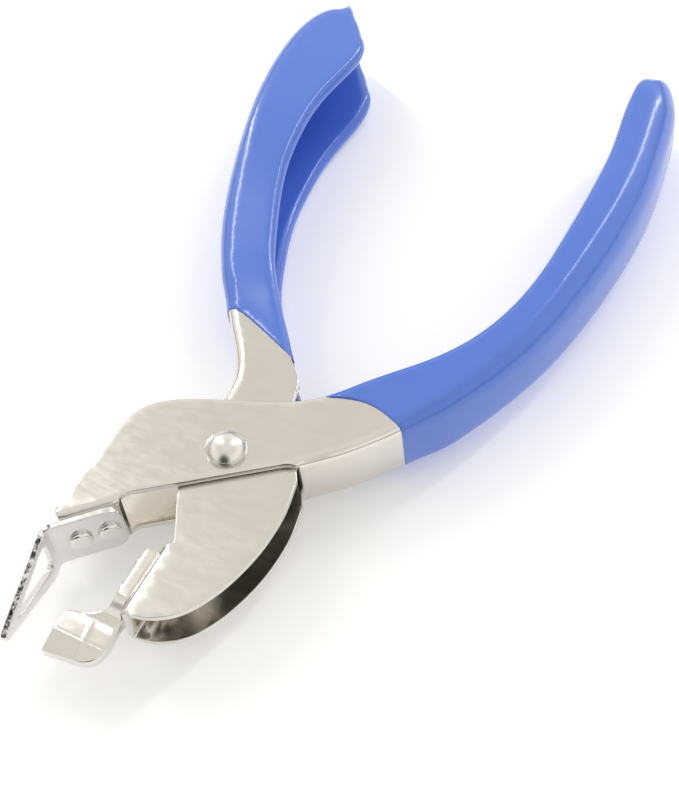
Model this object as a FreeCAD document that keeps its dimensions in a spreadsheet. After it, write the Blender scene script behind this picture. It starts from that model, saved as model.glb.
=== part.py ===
import FreeCAD, Part
import math
import os
import Sketcher
from FreeCAD import Vector, Placement, Rotation

# Riveted sheet-steel channel pliers. Two pressed levers turn on one rivet.
# The outer lever carries a bent plate with a tapered window, the inner lever
# carries a set-back pad. +Z is the pivot axis, +X runs from the jaws to the
# handle ends. All coordinates below are taken from the pivot and moved to the
# row origin, the middle of the bounding box's base, by origin_x, y, z.

doc = FreeCAD.newDocument("pliers")
sheet = doc.addObject("Spreadsheet::Sheet", "dims")
ROWS = [
    ("steel_t", 1.1), ("outer_width", 11.6), ("inner_width", 9.1), ("vinyl_t", 0.9),
    ("blank_depth", 30.0), ("side_depth", 120.0),
    ("pivot_shank_rad", 2.4), ("pivot_clear", 0.05), ("pivot_head_rad", 3.3),
    ("pivot_head_high", 2.6), ("pivot_head_rim", 0.9),
    ("window_plate_t", 1.1), ("window_plate_wide", 10.6), ("window_loop_wide", 12.6),
    ("window_tip_rad", 1.1), ("window_bar", 2.1),
    ("jaw_rivet_rad", 1.1), ("jaw_head_rad", 1.95), ("jaw_head_high", 0.8),
    ("pad_shank_t", 2.2), ("pad_shank_wide", 5.2), ("pad_shift", 1.0), ("pad_t", 2.0),
    ("spring_wire_rad", 0.45), ("spring_coil_rad", 3.15), ("spring_turns", 3.0), ("spring_pitch", 1.0),
    ("origin_x", -29.66), ("origin_y", 2.04), ("origin_z", 9.30),
]
for i, (name, value) in enumerate(ROWS, 1):
    sheet.set("A%d" % i, name)
    sheet.set("B%d" % i, str(value))
    sheet.setAlias("B%d" % i, name)
doc.recompute()


def val(name):
    return float(sheet.get(name))


T = val("steel_t")
V = val("vinyl_t")
PARTS = []


def plane(body, role):
    for feature in body.Origin.OriginFeatures:
        if feature.Role == role:
            return feature
    raise RuntimeError(role)


def body(label):
    b = doc.addObject("PartDesign::Body", label)
    b.Label = label
    return b


def sketch(b, name, role, runs):
    """runs: list of point lists, joined end to end and closed. A list of two
    points is a straight edge, a longer one a smooth curve."""
    s = b.newObject("Sketcher::SketchObject", name)
    s.AttachmentSupport = (plane(b, role), "")
    s.MapMode = "FlatFace"
    for loop in runs:
        for pts in loop:
            vs = [Vector(p[0], p[1], 0) for p in pts]
            if len(vs) == 2:
                s.addGeometry(Part.LineSegment(vs[0], vs[1]), False)
            else:
                c = Part.BSplineCurve()
                c.interpolate(vs)
                s.addGeometry(c, False)
    return s


def poly(points):
    return [[points[i], points[(i + 1) % len(points)]] for i in range(len(points))]


def sym_pad(b, name, sk, expr):
    p = b.newObject("PartDesign::Pad", name)
    p.Profile = sk
    if hasattr(p, "SideType"):
        p.SideType = "Symmetric"
    else:
        p.Midplane = True
    p.setExpression("Length", expr)
    sk.Visibility = False
    return p


def sym_pocket(b, name, sk, expr):
    p = b.newObject("PartDesign::Pocket", name)
    p.Profile = sk
    p.Type = 0
    if hasattr(p, "SideType"):
        p.SideType = "Symmetric"
    else:
        p.Midplane = True
    p.setExpression("Length", expr)
    return p


def unit(dx, dy):
    n = math.hypot(dx, dy)
    return dx / n, dy / n


def offset(points, d):
    """Move an open curve's points to its left by d."""
    out = []
    for i, p in enumerate(points):
        a = points[max(0, i - 1)]
        b = points[min(len(points) - 1, i + 1)]
        ux, uy = unit(b[0] - a[0], b[1] - a[1])
        out.append((p[0] - uy * d, p[1] + ux * d))
    return out


def interp(table, x):
    if x <= table[0][0]:
        return table[0][1]
    for (x0, y0), (x1, y1) in zip(table, table[1:]):
        if x <= x1:
            return y0 + (y1 - y0) * (x - x0) / (x1 - x0)
    return table[-1][1]


# ------------------------------------------------------------- channel shapes
# Half depth of each bare steel channel along X: parallel at the jaws and the
# pivot, flaring along the handle and closing in a little at its end.
OUTER_HALF = [(-60.0, 5.8), (16.0, 5.8), (30.0, 6.0), (45.0, 6.5), (60.0, 7.0), (75.0, 7.2),
              (95.0, 7.0), (130.0, 6.2)]
INNER_HALF = [(-60.0, 4.55), (27.0, 4.55), (34.0, 4.9), (41.0, 5.8), (49.0, 7.0), (57.0, 8.0),
              (66.0, 8.4), (76.0, 8.1), (86.0, 7.3), (110.0, 5.6)]


def side_loops(table, grow):
    """Two closed XZ loops: all that lies outside the channel's cheeks."""
    pts = [(x, h + grow) for x, h in table]
    top = [(pts[0][0], 40.0)] + pts + [(pts[-1][0], 40.0)]
    low = [(x, -z) for x, z in top]
    return [poly(top), poly(low)]


def flared(label, runs, table, grow):
    b = body(label)
    sk = sketch(b, label + "_outline", "XY_Plane", [runs])
    sym_pad(b, label + "_pad", sk, "dims.blank_depth")
    sk2 = sketch(b, label + "_side", "XZ_Plane", side_loops(table, grow))
    sym_pocket(b, label + "_flare", sk2, "dims.side_depth * 2")
    return b


def edges(points):
    return [[points[i], points[i + 1]] for i in range(len(points) - 1)]


def boolean(kind, label, base, tool):
    c = doc.addObject(kind, label)
    c.Label = label
    c.Base = base
    c.Tool = tool
    return c


def cylinder(label, rad, height, pos, axis, centred=True):
    c = doc.addObject("Part::Cylinder", label)
    c.setExpression("Radius", rad)
    c.Height = height
    a = Vector(*axis)
    a.normalize()
    p = Vector(*pos)
    if centred:
        p = p - a * (height / 2.0)
    c.Placement = Placement(p, Rotation(Vector(0, 0, 1), a))
    return c


# ---------------------------------------------------------------- outer lever
# web line of the bare handle, pivot to end
OW = [(2.6, -11.9), (4.0, -13.4), (6.6, -16.2), (10.4, -19.6), (15.2, -23.2), (22.6, -27.6), (30.4, -31.4),
      (40.0, -34.9), (50.0, -37.0), (60.0, -38.1), (70.0, -38.4), (80.0, -37.7), (90.0, -35.9), (96.0, -34.2),
      (98.9, -32.6)]
O_TIP = [(98.9, -32.6), (100.4, -30.8), (99.9, -28.9)]
# open rim of the bare handle, end to pivot
OI = [(99.9, -28.9), (96.0, -29.1), (84.0, -30.3), (72.0, -31.1), (61.0, -31.2), (50.0, -30.7),
      (41.3, -28.9), (34.8, -26.2), (28.0, -21.5), (22.4, -16.3), (16.8, -10.6)]
# back of the cheeks, pivot to jaw end
O_TOP = [(16.8, -10.6), (14.4, -7.9), (12.4, -4.9), (10.9, -1.9), (9.5, 1.6), (8.2, 4.9), (6.8, 8.4),
         (5.2, 11.7), (3.2, 14.7), (1.5, 16.3), (-0.7, 17.4), (-3.4, 18.1), (-7.6, 18.6), (-12.6, 18.8),
         (-17.5, 19.2), (-20.9, 19.1)]
# jaw end, jaw web line, notch and cut-away edge up to the handle web
WEB_ROOT, WEB_TIP = (-15.7, 10.75), (-22.3, 17.35)
O_JAW = [(-20.9, 19.1), (-21.9, 18.4), WEB_TIP, WEB_ROOT, (-14.9, 11.1), (-13.5, 10.2), (1.5, -9.6), (2.6, -11.9)]
outer_blank = flared("outer_lever_blank", [OW, O_TIP, OI, O_TOP] + edges(O_JAW), OUTER_HALF, 0.0)

JD = unit(WEB_TIP[0] - WEB_ROOT[0], WEB_TIP[1] - WEB_ROOT[1])   # along the outer jaw's web
JN = (JD[1], -JD[0])                          # into the channel
j1 = (WEB_ROOT[0] + JN[0] * T, WEB_ROOT[1] + JN[1] * T)
j0 = (j1[0] + JD[0] * 16.0, j1[1] + JD[1] * 16.0)
OWi = offset(OW, T)
o_out = [(OWi[-1][0], OWi[-1][1]), (98.2, -28.0), (98.2, 45.0), (j0[0], 45.0), j0, j1,
         (WEB_ROOT[0] - JN[0] * 2, WEB_ROOT[1] - JN[1] * 2), (-4.0, -14.5), OW[0], OWi[0]]
outer_core = flared("outer_lever_core", [OWi] + edges(o_out), OUTER_HALF, -T)
outer_shell = boolean("Part::Cut", "outer_lever_shell", outer_blank, outer_core)

# ---------------------------------------------------------------- inner lever
IW = [(9.0, 6.4), (12.0, 6.6), (15.6, 7.9), (18.5, 9.8), (21.7, 12.4), (25.0, 14.9), (32.0, 19.4), (38.1, 23.0),
      (46.8, 26.7), (56.5, 29.8), (67.8, 32.7), (77.4, 34.1), (84.6, 34.2), (88.8, 33.3), (91.4, 31.7),
      (92.6, 29.9)]
# end edge and open rim of the bare handle, end to pivot
I_END = [(92.6, 29.9), (85.2, 22.6)]
II = [(85.2, 22.6), (83.6, 21.5), (81.2, 21.1), (76.0, 21.6), (68.8, 22.3), (61.2, 21.8), (54.5, 20.6), (48.8, 18.8),
      (41.0, 15.5), (36.0, 13.0), (30.0, 8.7), (24.0, 3.6), (18.9, -1.6)]
I_NECK = [(18.9, -1.6), (17.6, -2.9), (15.6, -3.9), (12.8, -4.7), (10.2, -6.1)]
I_BACK = [(0.4, -12.4), (-1.8, -12.9), (-5.0, -13.5), (-9.0, -13.7), (-12.8, -13.5), (-17.3, -12.7), (-21.6, -11.4),
          (-25.2, -9.7), (-27.4, -8.2), (-29.2, -6.2), (-30.5, -3.9), (-31.2, -1.4), (-31.4, 0.9)]
I_JAW = [(-31.4, 0.9), (-19.2, 0.9), (-17.5, -0.6), (-8.4, 4.3)]
I_EYE = [(-8.4, 4.3), (-4.2, 6.5), (0.4, 7.7), (5.0, 7.6), (9.0, 6.4)]
inner_blank = flared("inner_lever_blank", [IW] + edges(I_END) + [II, I_NECK, [I_NECK[-1], I_BACK[0]], I_BACK] + edges(I_JAW) + [I_EYE],
                     INNER_HALF, 0.0)
IWi = offset(IW, -T)
i_out = [IWi[-1], (104.0, 24.0), (104.0, -60.0), (-50.0, -60.0), (-50.0, 0.9 - T), (-19.0, 0.9 - T), (-19.4, 3.0),
         (-10.0, 12.0), (5.0, 12.0), IW[0], IWi[0]]
inner_core = flared("inner_lever_core", [IWi] + edges(i_out), INNER_HALF, -T)
inner_shell = boolean("Part::Cut", "inner_lever_shell", inner_blank, inner_core)

# ------------------------------------------------------------------- dipped grips
OWv = offset(OW[4:], -V)
OIv = offset(OI[:-1], -V)
ov_mouth = [OIv[-1], (18.3, -10.6), (17.6, -15.0), (16.4, -19.4), (14.9, -24.2)]
OWv[0] = (14.9, -24.2)
ov_tip = [OWv[-1], (101.3, -30.6), (100.8, -28.6), OIv[0]]
outer_grip_blank = flared("outer_grip_blank", [OWv, ov_tip, OIv] + edges(ov_mouth), OUTER_HALF, V)
OWc = offset(OW[3:], T + V)
ovc = [OWc[-1], (97.2, -28.0), (97.2, 45.0), (-5.0, 45.0), (-5.0, OWc[0][1]), OWc[0]]
outer_grip_core = flared("outer_grip_core", [OWc] + edges(ovc), OUTER_HALF, -T - V)

IWv = offset(IW[5:], V)
IWv[0] = (25.1, 16.0)
iv_end = [IWv[-1], (93.9, 29.6), (86.0, 21.9)]
IIv = offset(II, V)
IIv[0] = (86.0, 21.9)
IIv = IIv[:-1] + [(19.8, -1.9)]
iv_mouth = [IIv[-1], (21.6, 1.4), (22.6, 4.6), (23.9, 8.6), (25.7, 12.4), (25.9, 14.6), (25.1, 16.0)]
inner_grip_blank = flared("inner_grip_blank", [IWv] + edges(iv_end) + [IIv] + edges(iv_mouth), INNER_HALF, V)
IWc = offset(IW[4:], -T - V)
ivc = [IWc[-1], (104.0, 22.0), (104.0, -60.0), (5.0, -60.0), (5.0, IWc[0][1]), IWc[0]]
inner_grip_core = flared("inner_grip_core", [IWc] + edges(ivc), INNER_HALF, -T - V)

# ---------------------------------------------------------------- pivot rivet
pivot = body("pivot_rivet")
zf = val("outer_width") / 2.0
r0, r1 = val("pivot_shank_rad"), val("pivot_head_rad")
hh, rim = val("pivot_head_high"), val("pivot_head_rim")
sk = pivot.newObject("Sketcher::SketchObject", "pivot_profile")
sk.AttachmentSupport = (plane(pivot, "XZ_Plane"), "")
sk.MapMode = "FlatFace"


def dome(sg):
    a, b = Vector(r1, sg * (zf + rim), 0), Vector(0, sg * (zf + hh), 0)
    # circle through the rim point with its centre on the axis
    cz = ((zf + rim) ** 2 + r1 ** 2 - (zf + hh) ** 2) / (2 * ((zf + rim) - (zf + hh)))
    rad = (zf + hh) - cz
    ang = math.acos(min(1.0, r1 / rad)) / 2 + math.pi / 4
    mid = Vector(rad * math.cos(ang), sg * (cz + rad * math.sin(ang)), 0)
    return Part.Arc(a, mid, b)


sk.addGeometry(Part.LineSegment(Vector(0, -(zf + hh), 0), Vector(0, zf + hh, 0)), False)
sk.addGeometry(dome(1), False)
for p, q in [((r1, zf + rim), (r1, zf)), ((r1, zf), (r0, zf)), ((r0, zf), (r0, -zf)), ((r0, -zf), (r1, -zf)),
             ((r1, -zf), (r1, -zf - rim))]:
    sk.addGeometry(Part.LineSegment(Vector(p[0], p[1], 0), Vector(q[0], q[1], 0)), False)
sk.addGeometry(dome(-1), False)
rev = pivot.newObject("PartDesign::Revolution", "pivot_turn")
rev.Profile = sk
rev.ReferenceAxis = (sk, ["V_Axis"])
rev.Angle = 360.0

# --------------------------------------------------------------- window jaw
WT = val("window_plate_t")
OUTN = (-JN[0], -JN[1])                        # away from the jaw web, towards the pad
w_root = (WEB_ROOT[0] + JD[0] * 0.1, WEB_ROOT[1] + JD[1] * 0.1)
w_bend = (WEB_ROOT[0] + JD[0] * 12.3, WEB_ROOT[1] + JD[1] * 12.3)
w_tip = (-42.0, 16.8)
LD = unit(w_tip[0] - w_bend[0], w_tip[1] - w_bend[1])
LN = (LD[1] * -1.0, LD[0])                     # loop normal towards the pad
if LN[1] > 0:
    LN = (-LN[0], -LN[1])


def along(p, d, s, n=(0, 0), t=0.0):
    return (p[0] + d[0] * s + n[0] * t, p[1] + d[1] * s + n[1] * t)


bx = OUTN[0] + LN[0], OUTN[1] + LN[1]
bm = unit(*bx)
bk = WT / (bm[0] * OUTN[0] + bm[1] * OUTN[1])
w_in = (w_bend[0] + bm[0] * bk, w_bend[1] + bm[1] * bk)
RB = 1.2                                       # bend trim either side of the corner
prof = [[w_root, along(w_bend, JD, -RB)],
        [along(w_bend, JD, -RB), along(w_bend, JD, -0.35 * RB, LN, 0.12), along(w_bend, LD, 0.35 * RB, OUTN, 0.12),
         along(w_bend, LD, RB)],
        [along(w_bend, LD, RB), w_tip],
        [w_tip, along(w_tip, (0, 0), 0, LN, WT)],
        [along(w_tip, (0, 0), 0, LN, WT), along(w_in, LD, 0.6)],
        [along(w_in, LD, 0.6), along(w_in, JD, -0.6)],
        [along(w_in, JD, -0.6), along(w_root, (0, 0), 0, OUTN, WT)],
        [along(w_root, (0, 0), 0, OUTN, WT), w_root]]
window = body("window_blank")
sk = sketch(window, "window_strip", "XY_Plane", [prof])
sym_pad(window, "window_pad", sk, "dims.window_loop_wide")
hs, hl, tr = val("window_plate_wide") / 2, val("window_loop_wide") / 2, val("window_tip_rad")
xb = w_bend[0]
front_line = [(0.0, hs), (xb - 2.2, hs), (-38.4, tr + 0.75), (-40.8, tr), (-41.7, tr - 0.4), (-42.3, 0.3)]
rear_line = [(0.0, -hs), (xb + 1.2, -hs), (xb - 0.1, -hs - 0.35), (xb - 1.6, -hl), (xb - 3.2, -hl + 0.1), (-38.4, -tr - 0.95), (-40.8, -tr),
             (-41.7, -tr + 0.4), (-42.3, -0.3)]
loops = [poly(front_line + [(-50.0, 0.3), (-50.0, 30.0), (0.0, 30.0)]),
         poly(rear_line + [(-50.0, -0.3), (-50.0, -30.0), (0.0, -30.0)])]
# rounded corners at the shank's free end
sk = sketch(window, "window_outline", "XZ_Plane", loops)
sym_pocket(window, "window_taper", sk, "dims.side_depth")
wb = val("window_bar")
hole = [(xb - 1.8, 2.4), (xb - 2.4, hs - wb + 0.2), (xb - 3.4, hs - wb + 0.3), (-37.2, 0.5), (-37.9, 0.0), (-37.2, -0.5),
        (xb - 3.4, -hl + wb + 0.6), (xb - 2.4, -hl + wb + 0.7), (xb - 1.8, -2.5)]
sk = sketch(window, "window_hole", "XZ_Plane", [poly(hole)])
sym_pocket(window, "window_cut", sk, "dims.side_depth")

# jaw rivets: shank through plate and web, a low head on each side
RIV = [("window_jaw_rivet_tip", along(WEB_ROOT, JD, 7.3)), ("window_jaw_rivet_root", along(WEB_ROOT, JD, 2.5))]


def jaw_rivet(label, seat, out, face_out, face_in, zc=0.0):
    """seat: point on the outer face of the lever's web; out: unit vector out of
    the web; face_out: plate thickness under the head; face_in: web thickness."""
    b = body(label)
    rs, rh, hi = val("jaw_rivet_rad"), val("jaw_head_rad"), val("jaw_head_high")
    s = b.newObject("Sketcher::SketchObject", label + "_profile")
    s.AttachmentSupport = (plane(b, "XZ_Plane"), "")
    s.MapMode = "FlatFace"
    top = face_out + hi
    bot = -face_in - 0.7
    pts = [(0, bot), (0, top), (rh - 0.75, top), (rh - 0.2, top - 0.25), (rh, top - 0.6), (rh, face_out), (rs, face_out),
           (rs, -face_in), (rh - 0.2, -face_in), (rh - 0.2, bot + 0.35), (rh - 0.6, bot)]
    for i in range(len(pts)):
        p, q = pts[i], pts[(i + 1) % len(pts)]
        s.addGeometry(Part.LineSegment(Vector(p[0], p[1], 0), Vector(q[0], q[1], 0)), False)
    r = b.newObject("PartDesign::Revolution", label + "_turn")
    r.Profile = s
    r.ReferenceAxis = (s, ["V_Axis"])
    r.Angle = 360.0
    b.Placement = Placement(Vector(seat[0], seat[1], zc), Rotation(Vector(0, 0, 1), Vector(out[0], out[1], 0)))
    return b


outer_obj, window_obj = outer_shell, window
rivets = []
for name, seat in RIV:
    rivets.append(jaw_rivet(name, seat, OUTN, WT, T))
    h = cylinder(name + "_hole", "dims.jaw_rivet_rad", 8.0, (seat[0], seat[1], 0), (OUTN[0], OUTN[1], 0))
    outer_obj = boolean("Part::Cut", "outer_" + name + "_cut", outer_obj, h)
    h2 = cylinder(name + "_hole_b", "dims.jaw_rivet_rad", 8.0, (seat[0], seat[1], 0), (OUTN[0], OUTN[1], 0))
    window_obj = boolean("Part::Cut", "window_" + name + "_cut", window_obj, h2)

# ------------------------------------------------------------------ pad jaw
ST, SW, PT = val("pad_shank_t"), val("pad_shank_wide") / 2, val("pad_t")
yw = 0.9                                       # the inner jaw web's outer face
yt = yw + ST
pad_line = [[(-19.5, yw), (-32.3, yw)],
            [(-32.3, yw), (-35.3, 0.65), (-37.4, 0.8), (-38.9, 1.6), (-39.8, 3.0), (-40.2, 5.2)],
            [(-40.2, 5.2), (-40.8, 10.1)], [(-40.8, 10.1), (-34.1, 10.3)],
            [(-34.1, 10.3), (-33.4, 9.9), (-33.1, 9.1)],
            [(-33.1, 9.1), (-32.4, 6.9), (-31.5, 4.9), (-30.4, 3.7), (-28.8, yt)],
            [(-28.8, yt), (-19.5, yt)], [(-19.5, yt), (-19.5, yw)]]
pad = body("pad_blank")
sk = sketch(pad, "pad_outline", "XY_Plane", [pad_line])
sym_pad(pad, "pad_pad", sk, "dims.blank_depth")
zs = val("pad_shift")
front = [(0.0, zs + SW), (-28.7, zs + SW), (-29.5, zs + SW - 0.5), (-30.4, zs + SW - 1.6), (-31.3, 1.1), (-32.4, 0.8), (-36.5, 0.7),
         (-42.0, 0.0)]
rear = [(0.0, zs - SW), (-30.0, zs - SW), (-33.0, 0.8 - PT), (-36.5, 0.7 - PT), (-42.0, -PT)]
loops = [poly(front + [(-50.0, 0.0), (-50.0, 30.0), (0.0, 30.0)]),
         poly(rear + [(-50.0, -PT), (-50.0, -30.0), (0.0, -30.0)])]
sk = sketch(pad, "pad_side", "XZ_Plane", loops)
sym_pocket(pad, "pad_shape", sk, "dims.side_depth")
inner_obj, pad_obj = inner_shell, pad
for name, x in (("pad_jaw_rivet_tip", -27.0), ("pad_jaw_rivet_root", -22.0)):
    rivets.append(jaw_rivet(name, (x, yw), (0.0, 1.0), ST, T, zs))
    h = cylinder(name + "_hole", "dims.jaw_rivet_rad", 12.0, (x, yw, zs), (0, 1, 0))
    inner_obj = boolean("Part::Cut", "inner_" + name + "_cut", inner_obj, h)
    h2 = cylinder(name + "_hole_b", "dims.jaw_rivet_rad", 12.0, (x, yw, zs), (0, 1, 0))
    pad_obj = boolean("Part::Cut", "pad_" + name + "_cut", pad_obj, h2)

# pivot holes: the rivet is clenched tight in the outer lever and the inner
# lever runs on it with a small clearance
ho = cylinder("outer_eye", "dims.pivot_shank_rad", 30.0, (0, 0, 0), (0, 0, 1))
outer_lever = boolean("Part::Cut", "outer_lever", outer_obj, ho)
hi_ = cylinder("inner_eye", "dims.pivot_shank_rad + dims.pivot_clear", 30.0, (0, 0, 0), (0, 0, 1))
inner_lever = boolean("Part::Cut", "inner_lever", inner_obj, hi_)
window_jaw = window_obj
window_jaw.Label = "window_jaw"
pad_jaw = pad_obj
pad_jaw.Label = "pad_jaw"

g1 = boolean("Part::Cut", "outer_grip_tube", outer_grip_blank, outer_grip_core)
outer_grip = boolean("Part::Cut", "outer_lever_grip", g1, outer_shell)
g2 = boolean("Part::Cut", "inner_grip_tube", inner_grip_blank, inner_grip_core)
inner_grip = boolean("Part::Cut", "inner_lever_grip", g2, inner_shell)

# ------------------------------------------------------------ return spring
doc.recompute()
wr, cr, pitch = val("spring_wire_rad"), val("spring_coil_rad"), val("spring_pitch")
# the legs bear on the inside of the two handle webs and leave the coil along
# its tangent; the coil is left-handed, so closing the handles winds it up
LEG_OUTER, LEG_INNER = (14.6, -20.7), (16.0, 5.3)
a0 = math.atan2(LEG_OUTER[1], LEG_OUTER[0]) - math.acos(cr / math.hypot(*LEG_OUTER))
a1 = math.atan2(LEG_INNER[1], LEG_INNER[0]) + math.acos(cr / math.hypot(*LEG_INNER))
turns = val("spring_turns") + ((a0 - a1) % (2 * math.pi)) / (2 * math.pi)
height = pitch * turns
slope = pitch / (2 * math.pi * cr)
leg0 = math.sqrt(LEG_OUTER[0] ** 2 + LEG_OUTER[1] ** 2 - cr ** 2)
leg1 = math.sqrt(LEG_INNER[0] ** 2 + LEG_INNER[1] ** 2 - cr ** 2)
fe = -2 * math.pi * turns
end = Vector(cr * math.cos(fe), cr * math.sin(fe), height)
out1 = Vector(math.sin(fe), -math.cos(fe), slope)
track = [Vector(cr, leg0 * k / 8.0, -slope * leg0 * k / 8.0) for k in range(8, 0, -1)]
steps = int(turns * 16)
for k in range(steps + 1):
    a = fe * k / steps
    track.append(Vector(cr * math.cos(a), cr * math.sin(a), height * k / steps))
track += [end + out1 * (leg1 * k / 6.0) for k in range(1, 7)]
curve = Part.BSplineCurve()
curve.interpolate(track)
path = Part.Wire([curve.toShape()])
circle = Part.Wire([Part.makeCircle(wr, track[0], curve.tangent(curve.FirstParameter)[0])])
spring_shape = path.makePipeShell([circle], True, False)
spring_shape.translate(Vector(0, 0, -height / 2))
spring_shape.rotate(Vector(0, 0, 0), Vector(0, 0, 1), math.degrees(a0))
spring = doc.addObject("Part::Feature", "return_spring")
spring.Label = "return_spring"
spring.Shape = spring_shape

# ---------------------------------------------------------------- write nodes
NODES = [outer_lever, inner_lever, outer_grip, inner_grip, pivot, spring, window_jaw, pad_jaw] + rivets
shift = Vector(val("origin_x"), val("origin_y"), val("origin_z"))
for n in NODES:
    n.Placement = Placement(shift, Rotation()).multiply(n.Placement)
doc.recompute()
for o in doc.Objects:
    if "Invalid" in o.State or "Error" in o.State:
        raise RuntimeError("failed object " + o.Name + " " + str(o.State))
os.makedirs("parts", exist_ok=True)
for n in NODES:
    sh = n.Shape
    if sh.isNull() or not sh.isValid() or len(sh.Solids) != 1:
        raise RuntimeError("bad shape %s solids=%d" % (n.Label, len(sh.Solids)))
    sh.exportStep("parts/" + n.Label + ".step")
    bb = sh.BoundBox
    print("%-22s vol %8.1f  x %.2f..%.2f y %.2f..%.2f z %.2f..%.2f" % (n.Label, sh.Volume, bb.XMin, bb.XMax, bb.YMin, bb.YMax, bb.ZMin, bb.ZMax))
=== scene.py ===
import bpy
import math
import numpy as np
from mathutils import Vector, Matrix
from mathutils.geometry import delaunay_2d_cdt


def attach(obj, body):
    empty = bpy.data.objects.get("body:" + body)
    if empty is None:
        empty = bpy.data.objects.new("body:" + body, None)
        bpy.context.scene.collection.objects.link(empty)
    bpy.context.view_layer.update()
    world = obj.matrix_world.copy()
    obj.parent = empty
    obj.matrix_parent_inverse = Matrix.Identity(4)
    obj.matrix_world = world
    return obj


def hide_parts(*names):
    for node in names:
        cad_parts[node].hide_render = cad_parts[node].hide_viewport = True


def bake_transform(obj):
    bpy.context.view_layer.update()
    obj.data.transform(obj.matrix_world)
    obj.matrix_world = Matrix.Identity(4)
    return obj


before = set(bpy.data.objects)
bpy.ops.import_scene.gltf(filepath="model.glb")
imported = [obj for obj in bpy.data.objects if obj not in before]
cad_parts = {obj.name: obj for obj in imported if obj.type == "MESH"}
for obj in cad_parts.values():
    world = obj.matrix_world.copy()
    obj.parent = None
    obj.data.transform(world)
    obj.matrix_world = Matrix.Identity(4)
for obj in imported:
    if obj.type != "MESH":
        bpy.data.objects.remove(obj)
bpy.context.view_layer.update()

# All shapes below are in millimetres from the pivot, +Z along the rivet.
ORIGIN = np.array([-29.66, 2.04, 9.30])
T, V = 1.1, 0.9


def place(v):
    return [((p[0] + ORIGIN[0]) / 1000.0, (p[1] + ORIGIN[1]) / 1000.0, (p[2] + ORIGIN[2]) / 1000.0) for p in v]


# ------------------------------------------------------------------ curves
def spline(points, step=0.8):
    p = np.array(points, float)
    if len(p) == 2:
        n = max(1, int(round(np.linalg.norm(p[1] - p[0]) / step)))
        return np.array([p[0] + (p[1] - p[0]) * i / n for i in range(n + 1)])
    s = np.concatenate([[0], np.cumsum(np.linalg.norm(np.diff(p, axis=0), axis=1))])
    h = np.diff(s)
    n = len(p)
    A = np.zeros((n, n))
    B = np.zeros((n, 2))
    A[0, 0] = A[-1, -1] = 1
    for i in range(1, n - 1):
        A[i, i - 1], A[i, i], A[i, i + 1] = h[i - 1], 2 * (h[i - 1] + h[i]), h[i]
        B[i] = 6 * ((p[i + 1] - p[i]) / h[i] - (p[i] - p[i - 1]) / h[i - 1])
    M = np.linalg.solve(A, B)
    m = max(2, int(round(s[-1] / step)))
    out = []
    for u in np.linspace(0, s[-1], m + 1):
        i = min(n - 2, max(0, int(np.searchsorted(s, u) - 1)))
        a, b = s[i + 1] - u, u - s[i]
        out.append(M[i] * a ** 3 / (6 * h[i]) + M[i + 1] * b ** 3 / (6 * h[i])
                   + (p[i] / h[i] - M[i] * h[i] / 6) * a + (p[i + 1] / h[i] - M[i + 1] * h[i] / 6) * b)
    out[0], out[-1] = p[0], p[-1]
    return np.array(out)


def join(parts):
    out = [parts[0]]
    for q in parts[1:]:
        out.append(q[1:])
    return np.concatenate(out)


def offset(points, d):
    """Open curve moved to its left by d, a number or one per point."""
    p = np.array(points, float)
    t = np.empty_like(p)
    t[1:-1] = p[2:] - p[:-2]
    t[0], t[-1] = p[1] - p[0], p[-1] - p[-2]
    t /= np.linalg.norm(t, axis=1)[:, None]
    n = np.stack([-t[:, 1], t[:, 0]], axis=1)
    return p + n * (d[:, None] if hasattr(d, "__len__") else d)


def dist(q, line):
    q = np.asarray(q, float)
    a, b = line[:-1], line[1:]
    d = b - a
    L = (d ** 2).sum(1)
    best = np.full(len(q), 1e9)
    for i in range(len(a)):
        if L[i] < 1e-12:
            continue
        u = np.clip(((q - a[i]) @ d[i]) / L[i], 0, 1)
        best = np.minimum(best, np.linalg.norm(q - (a[i] + u[:, None] * d[i]), axis=1))
    return best


def inside(q, loop):
    q = np.asarray(q, float)
    x, y = q[:, 0], q[:, 1]
    r = np.zeros(len(q), bool)
    n = len(loop)
    for i in range(n):
        x0, y0 = loop[i]
        x1, y1 = loop[(i + 1) % n]
        if y0 == y1:
            continue
        c = ((y0 > y) != (y1 > y)) & (x < (x1 - x0) * (y - y0) / (y1 - y0) + x0)
        r ^= c
    return r


def area(loop):
    p = np.array(loop)
    q = np.roll(p, -1, axis=0)
    return 0.5 * (p[:, 0] * q[:, 1] - q[:, 0] * p[:, 1]).sum()


def circle(c, r, n):
    a = np.linspace(0, 2 * math.pi, n, endpoint=False)
    return np.stack([c[0] + r * np.cos(a), c[1] + r * np.sin(a)], axis=1)


def chaikin(loop, times=2, k=0.25):
    p = np.array(loop, float)
    for _ in range(times):
        q = np.roll(p, -1, axis=0)
        p = np.stack([p * (1 - k) + q * k, p * k + q * (1 - k)], axis=1).reshape(-1, 2)
    return p


def rnd(d, r):
    """How far a surface has dropped at distance d from an edge rounded to r."""
    r = np.maximum(r, 1e-6)
    e = np.clip(r - np.asarray(d), 0, r)
    return r - np.sqrt(np.maximum(r * r - e * e, 0))


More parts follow.
